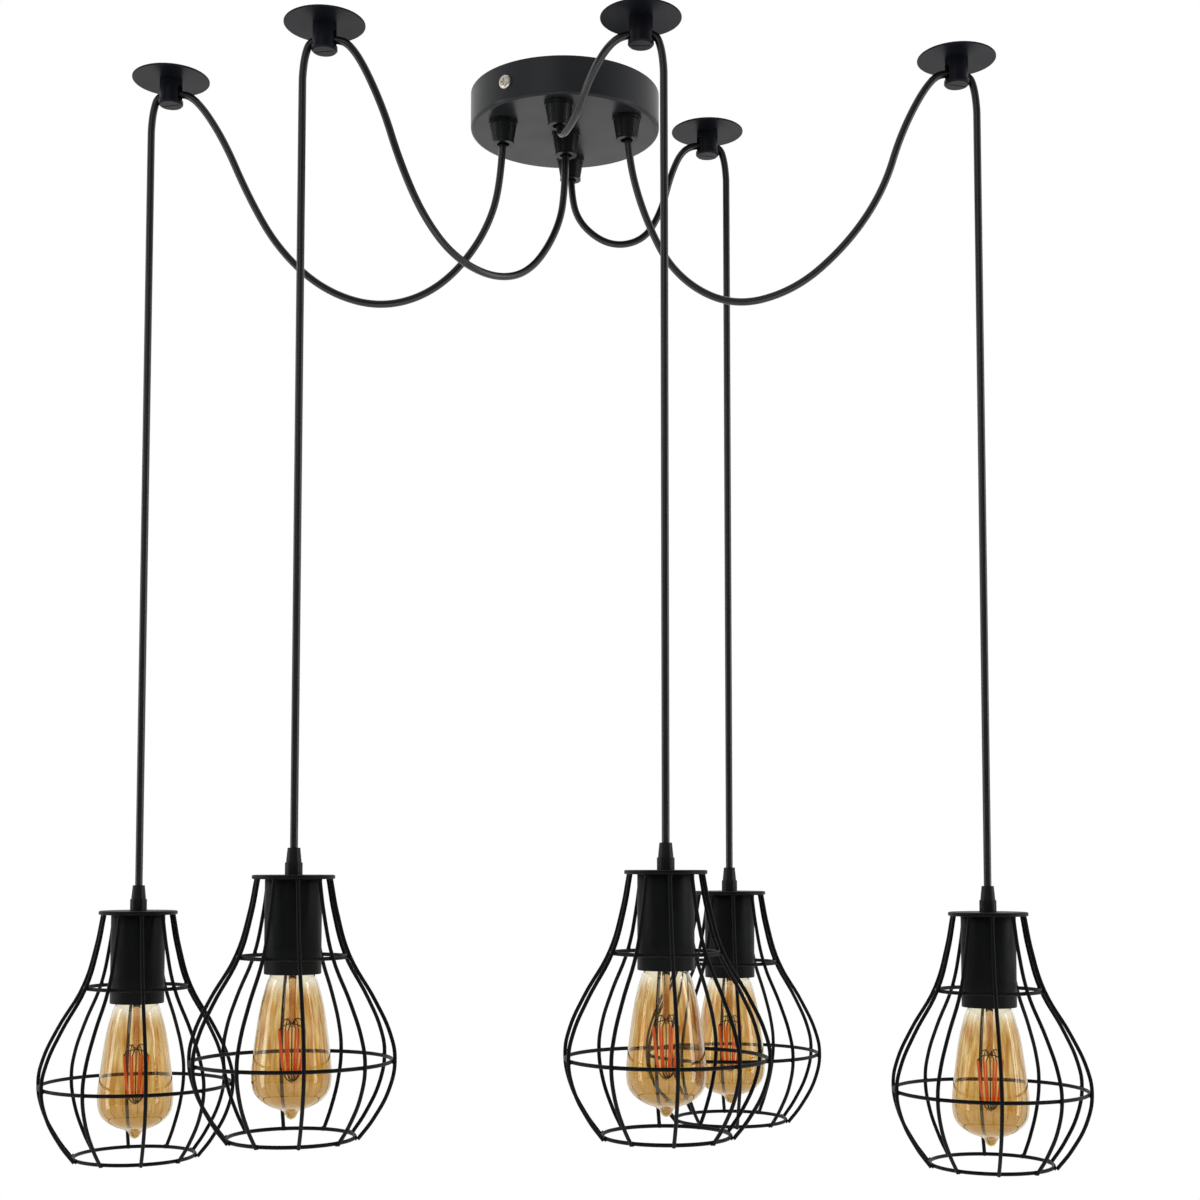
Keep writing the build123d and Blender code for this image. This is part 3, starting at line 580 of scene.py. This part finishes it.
# Vertical streaks about 4 mm wide, drawn out down the bulb, vary the amber between two tones.
drawn_out = add(tree, "ShaderNodeMapping", {"Vector": spot.outputs["Object"], "Scale": (1.0, 1.0, 0.08)})
streak = add(tree, "ShaderNodeTexNoise", {"Vector": drawn_out.outputs[0], "Scale": 1 / (4 * MM)})
streak_share = add(tree, "ShaderNodeMapRange", {"Value": streak.outputs[0], "From Min": 0.35, "From Max": 0.65})
lustre = add(tree, "ShaderNodeMix",
             {MIX_FACTOR: streak_share.outputs[0], MIX_A: linear("#CFA55E"), MIX_B: linear("#ECDFBA")},
             data_type="RGBA")
thinned = add(tree, "ShaderNodeMix",
              {MIX_FACTOR: cover.outputs[0], MIX_A: linear("#F6F3E6"), MIX_B: lustre.outputs[MIX_RESULT]},
              data_type="RGBA")
glass = add(tree, "ShaderNodeMix",
            {MIX_FACTOR: lower_band.outputs[0], MIX_A: thinned.outputs[MIX_RESULT], MIX_B: linear("#CFB26C")},
            data_type="RGBA")
tree.links.new(glass.outputs[MIX_RESULT], shader.inputs["Base Color"])
print("mixed", amber_glass.name)

# %% Blow the bulbs
GLASS_WALL = 0.8
BULB_SIDE = [(12.3, 9.0), (12.4, 5.0), (15.6, 2.4), (18.9, -2.5), (22.6, -14.0), (25.8, -27.7), (28.7, -47.0),
             (31.1, -66.4), (32.1, -78.0), (31.9, -86.0), (30.2, -93.5), (26.0, -99.6), (18.8, -104.9),
             (10.6, -108.2), (6.5, -109.9), (4.9, -112.4), (3.0, -115.4), (0.0, -116.8)]
side_curve = through_points("bulb_side", [[(radius, 0, height) for radius, height in BULB_SIDE]])
side_points = [(max(vertex.co.x, 0.0), vertex.co.z) for vertex in curve_mesh(side_curve).vertices]
bulb_shape = turned(side_points, steps=96, closed=False)
bulb_pattern = pattern("bulb", bulb_shape, smooth_below=60)
below_neck = bulb_pattern.attributes.new("below_neck", "FLOAT", "POINT")
below_neck.data.foreach_set("value", [-vertex.co.z for vertex in bulb_pattern.vertices])
bulb_places = [place @ Matrix.Translation((0, 0, COVER_END)) for place in lamp_places]
for n in LAMPS:
    bulb = set_piece(f"bulb_shell_{n + 1}", bulb_pattern, bulb_places[n], amber_glass, f"bulb_{n + 1}",
                     f"bulb_glass_{n + 1}")
    wall = bulb.modifiers.new("glass_wall", "SOLIDIFY")
    wall.thickness = GLASS_WALL * MM
    wall.offset = -1
print("bulb outline points", len(side_points), "faces", len(bulb_pattern.polygons))

# %% [markdown]
# ## Screw cap
# The cap is thin nickel-plated brass with a rolled thread. A thread is an outline that climbs while it
# turns, and spin can do that: its dvec lifts each step by a share of the pitch. A plain skirt below and a
# shoulder above close the ends, then come a disc of black glass and the solder contact.

# %% Nickel, black glass and solder
nickel, tree, shader = start_finish("nickel_plate", {"Metallic": 1.0, "Base Color": linear("#CFC8BC")})
spot = add(tree, "ShaderNodeTexCoord", {})
# Hairlines from rolling, about 0.5 mm apart.
hairline = add(tree, "ShaderNodeTexNoise",
               {"Vector": spot.outputs["Object"], "Scale": 1 / (0.5 * MM), "Detail": 3.0})
gloss = add(tree, "ShaderNodeMapRange",
            {"Value": hairline.outputs[0], "From Min": 0.3, "From Max": 0.7, "To Min": 0.2, "To Max": 0.36})
tree.links.new(gloss.outputs[0], shader.inputs["Roughness"])
black_glass, tree, shader = start_finish("black_cap_glass", {"IOR": 1.52, "Base Color": linear("#0C0B0D")})
spot = add(tree, "ShaderNodeTexCoord", {})
ripple = add(tree, "ShaderNodeTexNoise", {"Vector": spot.outputs["Object"], "Scale": 1 / (3 * MM)})
gloss = add(tree, "ShaderNodeMapRange", {"Value": ripple.outputs[0], "To Min": 0.08, "To Max": 0.25})
tree.links.new(gloss.outputs[0], shader.inputs["Roughness"])
solder, tree, shader = start_finish("tin_solder", {"Metallic": 1.0, "Base Color": linear("#B4B5B6")})
spot = add(tree, "ShaderNodeTexCoord", {})
dull = add(tree, "ShaderNodeTexNoise", {"Vector": spot.outputs["Object"], "Scale": 1 / (1.5 * MM)})
gloss = add(tree, "ShaderNodeMapRange", {"Value": dull.outputs[0], "To Min": 0.25, "To Max": 0.55})
tree.links.new(gloss.outputs[0], shader.inputs["Roughness"])
print("mixed", nickel.name, black_glass.name, solder.name)

# %% Roll the thread
THREAD_PITCH = 25.4 / 7
THREAD_TURNS = 4
TURN_STEPS = 40
# Radius, and height as a share of the pitch.
THREAD_SECTION = [(12.45, 0.0), (12.6, 0.16), (12.95, 0.34), (13.12, 0.5), (12.95, 0.66), (12.6, 0.84),
                  (12.45, 1.0)]
THREAD_FOOT = 5.6
cap_shape = bmesh.new()
knots = [cap_shape.verts.new((radius, 0, THREAD_FOOT + share * THREAD_PITCH))
         for radius, share in THREAD_SECTION]
edges = [cap_shape.edges.new(pair) for pair in zip(knots, knots[1:])]
bmesh.ops.spin(cap_shape, geom=knots + edges, cent=(0, 0, 0), axis=(0, 0, 1),
               dvec=(0, 0, THREAD_PITCH / TURN_STEPS), angle=2 * math.pi * THREAD_TURNS,
               steps=TURN_STEPS * THREAD_TURNS)
bmesh.ops.remove_doubles(cap_shape, verts=cap_shape.verts, dist=0.01)
bmesh.ops.recalc_face_normals(cap_shape, faces=cap_shape.faces)
print("thread faces", len(cap_shape.faces))

# %% Skirt, shoulder and contact
SKIRT = [(12.6, 5.0), (13.0, 5.0), (13.0, 9.6), (12.6, 9.6)]
SHOULDER = [(12.4, 20.0), (12.9, 20.0), (12.9, 23.6), (12.2, 25.4), (8.5, 26.6), (8.5, 26.0), (11.6, 24.9),
            (12.4, 23.2)]
GLASS_DISC = [(4.2, 26.2), (8.5, 26.6), (7.6, 28.0), (4.2, 28.0)]
CONTACT = [(0.0, 30.0), (2.6, 29.9), (4.2, 29.2), (4.7, 28.0), (4.2, 26.4)]
NICKEL_INDEX, GLASS_INDEX, SOLDER_INDEX = 0, 1, 2


def join_in(shape, part, index):
    """Adds a part to a shape with its faces on the given material."""
    for face in part.faces:
        face.material_index = index
    keep = bpy.data.meshes.new("part")
    part.to_mesh(keep)
    part.free()
    shape.from_mesh(keep)
    bpy.data.meshes.remove(keep)


for outline, index in ((SKIRT, NICKEL_INDEX), (SHOULDER, NICKEL_INDEX), (GLASS_DISC, GLASS_INDEX)):
    join_in(cap_shape, turned(outline, steps=48), index)
join_in(cap_shape, turned(CONTACT, steps=32, closed=False), SOLDER_INDEX)
cap_pattern = pattern("cap", cap_shape, smooth_below=45)
for finish in (nickel, black_glass, solder):
    cap_pattern.materials.append(finish)
for n in LAMPS:
    set_piece(f"bulb_screw_{n + 1}", cap_pattern, bulb_places[n], None, f"bulb_core_{n + 1}",
              f"bulb_cap_{n + 1}")
print("caps set, faces each", len(cap_pattern.polygons))

# %% [markdown]
# ## Stem and filament
# A clear glass stem stands in the neck. From its bead thin wires spread like a spider and hold eight coated
# strands, wide at the top and closer below, whose orange coat carries a weak emission: a painted glow, as
# the bulb is not lit. Stem, wires and strands are separate finishes, so they are separate pieces that turn
# with the cap.

# %% Stem glass, wire and strand coat with a painted glow
stem_glass, tree, shader = start_finish(
    "clear_stem_glass", {"IOR": 1.5, "Roughness": 0.02, "Transmission Weight": 1.0})
spot = add(tree, "ShaderNodeTexCoord", {})
seed = add(tree, "ShaderNodeTexNoise", {"Vector": spot.outputs["Object"], "Scale": 1 / (4 * MM)})
tone = add(tree, "ShaderNodeMix",
           {MIX_FACTOR: seed.outputs[0], MIX_A: linear("#C98F52"), MIX_B: linear("#EBCB9C")},
           data_type="RGBA")
tree.links.new(tone.outputs[MIX_RESULT], shader.inputs["Base Color"])
dark_wire, tree, shader = start_finish("dark_support_wire", {"Metallic": 1.0, "Roughness": 0.45})
spot = add(tree, "ShaderNodeTexCoord", {})
oxide = add(tree, "ShaderNodeTexNoise", {"Vector": spot.outputs["Object"], "Scale": 1 / (2 * MM)})
tone = add(tree, "ShaderNodeMix",
           {MIX_FACTOR: oxide.outputs[0], MIX_A: linear("#1F1611"), MIX_B: linear("#45321F")},
           data_type="RGBA")
tree.links.new(tone.outputs[MIX_RESULT], shader.inputs["Base Color"])
# The strands' coat is orange; the weak emission on it is a painted glow, as the bulb is not lit.
painted_glow_strand_coat, tree, shader = start_finish("orange_strand_coat_painted_glow", {"Roughness": 0.5, "Emission Strength": 0.5})
spot = add(tree, "ShaderNodeTexCoord", {})
coat = add(tree, "ShaderNodeTexNoise", {"Vector": spot.outputs["Object"], "Scale": 1 / (3 * MM)})
tone = add(tree, "ShaderNodeMix",
           {MIX_FACTOR: coat.outputs[0], MIX_A: linear("#C04410"), MIX_B: linear("#DE6420")},
           data_type="RGBA")
tree.links.new(tone.outputs[MIX_RESULT], shader.inputs["Base Color"])
tree.links.new(tone.outputs[MIX_RESULT], shader.inputs["Emission Color"])
print("mixed", stem_glass.name, dark_wire.name, painted_glow_strand_coat.name)

# %% Stem
STEM_OUTLINE = [(0.0, 24.0), (2.2, 24.0), (2.2, 8.2), (11.0, 8.2), (11.0, 7.0), (5.4, 4.0), (3.4, 0.0),
                (2.8, -14.0), (2.6, -30.0), (2.9, -36.0), (3.0, -40.5), (2.2, -42.4), (0.0, -43.0)]
STEM_BEVEL = 0.5
stem_shape = turned(STEM_OUTLINE, steps=32, closed=False)
break_edges(stem_shape, STEM_BEVEL)
stem_pattern = pattern("stem", stem_shape, smooth_below=60)
for n in LAMPS:
    set_piece(f"bulb_stem_{n + 1}", stem_pattern, bulb_places[n], stem_glass, f"bulb_core_{n + 1}",
              f"bulb_filament_{n + 1}")
print("stem faces", len(stem_pattern.polygons))

# %% Support wires and strands
STRAND_COUNT = 8
STRAND_R = 0.85
SUPPORT_R = 0.5
AXIS = (0, 0)
POST_HEIGHTS = (-41.5, -64.0, -87.0)    # of the wire down the middle, which ends at the hub
LEG_FROM = -40.0
# Distance from the axis and height of a strand's two ends and of the bends in its support wires.
STRAND_TOP = (11.0, -45.0)
STRAND_FOOT = (6.5, -81.0)
LEG_BENDS = [(5.5, -36.0), (5.5, -41.2)]    # by turns, so that the legs do not all look the same
FOOT_BEND = (3.2, -85.2)
STRAND_BOW = 0.5


def beside_axis(out, spot):
    """The place at a distance from the axis, in a level direction, and at a height."""
    return out * spot[0] + above(AXIS, spot[1])


hub = above(AXIS, POST_HEIGHTS[-1])
support_lines = [[above(AXIS, height) for height in POST_HEIGHTS]]
strand_lines = []
for i in range(STRAND_COUNT):
    out = level(360 * (i + 0.5) / STRAND_COUNT)
    top = beside_axis(out, STRAND_TOP)
    foot = beside_axis(out, STRAND_FOOT)
    support_lines.append([above(AXIS, LEG_FROM), beside_axis(out, LEG_BENDS[i % 2]), top])
    support_lines.append([foot, beside_axis(out, FOOT_BEND), hub])
    strand_lines.append([top, (top + foot) / 2 + out * STRAND_BOW, foot])
support_mesh = curve_mesh(through_points("supports", support_lines, 4), SUPPORT_R, 6)
strand_mesh = curve_mesh(through_points("strands", strand_lines, 5), STRAND_R, 8)
for mesh in (support_mesh, strand_mesh):
    mesh.shade_smooth()
for n in LAMPS:
    set_piece(f"bulb_supports_{n + 1}", support_mesh, bulb_places[n], dark_wire, f"bulb_core_{n + 1}",
              f"bulb_filament_{n + 1}")
    set_piece(f"bulb_strands_{n + 1}", strand_mesh, bulb_places[n], painted_glow_strand_coat, f"bulb_core_{n + 1}",
              f"bulb_filament_{n + 1}")
print("supports", len(support_mesh.polygons), "strands", len(strand_mesh.polygons), "faces")

# %% [markdown]
# ## Inside the cup
# From above the cup is open and shows how the light is fixed: a zinc-plated strap with two ears, a block of
# terminals, brass screws and the leads of the five cords. The metal and plastic keep their CAD shapes. The
# leads are soft, so they are laid as short cords along the same corners as in the CAD model.

# %% Zinc, bright screws, ivory and brass
zinc, tree, shader = start_finish("zinc_plated_steel", {"Metallic": 1.0})
spot = add(tree, "ShaderNodeTexCoord", {})
# Zinc crystals on thin plated strip are about 3 mm across.
spangle = add(tree, "ShaderNodeTexVoronoi", {"Vector": spot.outputs["Object"], "Scale": 1 / (3 * MM)})
tone = add(tree, "ShaderNodeMix",
           {MIX_FACTOR: spangle.outputs["Distance"], MIX_A: linear("#A9ADB0"), MIX_B: linear("#C7CACB")},
           data_type="RGBA")
gloss = add(tree, "ShaderNodeMapRange", {"Value": spangle.outputs["Distance"], "To Min": 0.3, "To Max": 0.48})
tree.links.new(tone.outputs[MIX_RESULT], shader.inputs["Base Color"])
tree.links.new(gloss.outputs[0], shader.inputs["Roughness"])
ivory, tree, shader = start_finish("ivory_polyamide", {"IOR": 1.53, "Roughness": 0.45})
spot = add(tree, "ShaderNodeTexCoord", {})
flow = add(tree, "ShaderNodeTexNoise", {"Vector": spot.outputs["Object"], "Scale": 1 / (8 * MM)})
tone = add(tree, "ShaderNodeMix",
           {MIX_FACTOR: flow.outputs[0], MIX_A: linear("#DED6C0"), MIX_B: linear("#EFE9DA")},
           data_type="RGBA")
tree.links.new(tone.outputs[MIX_RESULT], shader.inputs["Base Color"])
brass, tree, shader = start_finish("turned_brass", {"Metallic": 1.0, "Base Color": linear("#CDA95C")})
spot = add(tree, "ShaderNodeTexCoord", {})
tool_mark = add(tree, "ShaderNodeTexNoise", {"Vector": spot.outputs["Object"], "Scale": 1 / (0.6 * MM)})
gloss = add(tree, "ShaderNodeMapRange", {"Value": tool_mark.outputs[0], "To Min": 0.2, "To Max": 0.42})
tree.links.new(gloss.outputs[0], shader.inputs["Roughness"])
dress("ceiling_bracket", zinc)
dress("canopy_grip_nuts", zinc)
dress("canopy_side_screws", nickel)
dress("terminal_block", ivory)
dress("terminal_screws", brass)
print("dressed the strap, nuts, screws and terminals")

# %% Brown lead insulation
brown_pvc, tree, shader = start_finish("brown_lead_insulation", {"IOR": 1.53, "Roughness": 0.4})
spot = add(tree, "ShaderNodeTexCoord", {})
pigment = add(tree, "ShaderNodeTexNoise", {"Vector": spot.outputs["Object"], "Scale": 1 / (5 * MM)})
tone = add(tree, "ShaderNodeMix",
           {MIX_FACTOR: pigment.outputs[0], MIX_A: linear("#4A2C1C"), MIX_B: linear("#633F29")},
           data_type="RGBA")
tree.links.new(tone.outputs[MIX_RESULT], shader.inputs["Base Color"])
print("mixed", brown_pvc.name)

# %% Lay the leads
STRAP_AZIMUTH = 54.0
BLOCK_ALONG = 56.0    # from the cup's axis to the middle of the terminal block
BLOCK_HALF_WIDTH = 8.5
POLE_PITCH = 11.0
LEAD_R = 1.5
LEAD_Z = -10.0
LEAD_RISE = 7.0
LEAD_RUN = 9.0
LEAD_DEPTH = 2.5
LEAD_SIDES = [1, 1, -1, 1, -1]
LEAD_POLES = [0, -1, -1, 1, 0]
strap_way = level(STRAP_AZIMUTH)
across_strap = level(STRAP_AZIMUTH + 90)
for n in LAMPS:
    pole = strap_way * (BLOCK_ALONG + LEAD_POLES[n] * POLE_PITCH)
    out = across_strap * LEAD_SIDES[n]
    face = pole + out * BLOCK_HALF_WIDTH
    route = [above(GRIP_PLACES[n], CORD_TOP), above(GRIP_PLACES[n], CORD_TOP + LEAD_RISE),
             above(face + out * LEAD_RUN, LEAD_Z), above(face - out * LEAD_DEPTH, LEAD_Z)]
    lead, path = lay_cord(f"lead_{n + 1}", route, LEAD_R, brown_pvc)
    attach(lead, "ceiling")
    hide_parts("lead_wires")

# %% [markdown]
# ## Light, background and floor
# The photograph is a cut-out on white. Black things only look round there because the room mirrored in them
# is white behind the object and dim behind the photographer, so their middles are dark and their edges
# grey. The world does the same: it shows white to the camera and through glass, and a white that fades
# towards the front to mirrors. Two tall lamps at the sides draw the highlights on the cords and bulbs, and
# two weaker ones, in front and below, fill the dark sides. A pale floor far below catches the shadow and
# stays out of the picture.

# %% White world
DIFFUSE_LEVEL = 0.65
DARK_SIDE = 0.22
world = bpy.data.worlds.new("white_studio")
bpy.context.scene.world = world
world.use_nodes = True
tree = world.node_tree
tree.nodes.clear()
seen = add(tree, "ShaderNodeLightPath", {})
ray = add(tree, "ShaderNodeTexCoord", {})
way = add(tree, "ShaderNodeSeparateXYZ", {"Vector": ray.outputs["Generated"]})
room = add(tree, "ShaderNodeMapRange",
           {"Value": way.outputs["Y"], "From Min": -0.6, "From Max": 0.2, "To Min": DARK_SIDE, "To Max": 1.0})
mirrored = add(tree, "ShaderNodeMix",
               {MIX_FACTOR: seen.outputs["Is Glossy Ray"], FLOAT_A: DIFFUSE_LEVEL, FLOAT_B: room.outputs[0]},
               data_type="FLOAT")
white = add(tree, "ShaderNodeMath",
            {0: seen.outputs["Is Camera Ray"], 1: seen.outputs["Is Transmission Ray"]}, operation="MAXIMUM")
level_shown = add(tree, "ShaderNodeMix",
                  {MIX_FACTOR: white.outputs[0], FLOAT_A: mirrored.outputs[0], FLOAT_B: 1.0},
                  data_type="FLOAT")
sky = add(tree, "ShaderNodeBackground", {"Color": linear("#FFFFFF"), "Strength": level_shown.outputs[0]})
add(tree, "ShaderNodeOutputWorld", {"Surface": sky.outputs[0]})
print("world set")

# %% Soft boxes
def soft_box(name, width, height, place, aim, power):
    """A soft lamp of the given width and height at a place, turned to face the aim."""
    lamp = bpy.data.lights.new(name, "AREA")
    lamp.shape = "RECTANGLE"
    lamp.size = width
    lamp.size_y = height
    lamp.energy = power
    box = bpy.data.objects.new(name, lamp)
    box.location = place
    box.rotation_euler = (Vector(aim) - Vector(place)).to_track_quat("-Z", "Y").to_euler()
    bpy.context.scene.collection.objects.link(box)


MIDDLE = (0.0, 0.0, -0.5)
soft_box("left_strip", 0.5, 2.0, (-2.2, -0.4, -0.5), MIDDLE, 9)
soft_box("right_strip", 0.5, 2.0, (2.2, -0.4, -0.5), MIDDLE, 11)
soft_box("front_box", 1.6, 1.6, (-1.2, -2.4, 0.8), MIDDLE, 6)
soft_box("low_box", 1.0, 1.0, (0.2, -1.4, -1.5), MIDDLE, 2)
bpy.context.scene.view_settings.view_transform = "Standard"
print("soft boxes set")

# %% Pale floor
FLOOR_Z = -1.7
FLOOR_HALF_WIDTH = 3
FLOOR_LIFT = 0.4    # light that the floor adds for the rays that see it, so that it reads as white
floor_paint, tree, shader = start_finish("pale_floor", {"Base Color": linear("#F4F4F4"), "Roughness": 0.9})
seen = add(tree, "ShaderNodeLightPath", {})
either = add(tree, "ShaderNodeMath", {0: seen.outputs["Is Camera Ray"], 1: seen.outputs["Is Glossy Ray"]},
             operation="MAXIMUM")
shown = add(tree, "ShaderNodeMath", {0: either.outputs[0], 1: seen.outputs["Is Transmission Ray"]},
            operation="MAXIMUM")
lift = add(tree, "ShaderNodeMath", {0: shown.outputs[0], 1: FLOOR_LIFT}, operation="MULTIPLY")
tree.links.new(lift.outputs[0], shader.inputs["Emission Strength"])
shader.inputs["Emission Color"].default_value = linear("#FFFFFF")
floor_shape = bmesh.new()
bmesh.ops.create_grid(floor_shape, x_segments=1, y_segments=1, size=FLOOR_HALF_WIDTH,
                      matrix=Matrix.Translation((0, 0, FLOOR_Z)))
floor_mesh = bpy.data.meshes.new("floor")
floor_shape.to_mesh(floor_mesh)
floor_shape.free()
floor_mesh.materials.append(floor_paint)
floor = bpy.data.objects.new("floor", floor_mesh)
bpy.context.scene.collection.objects.link(floor)
print("floor at", FLOOR_Z)
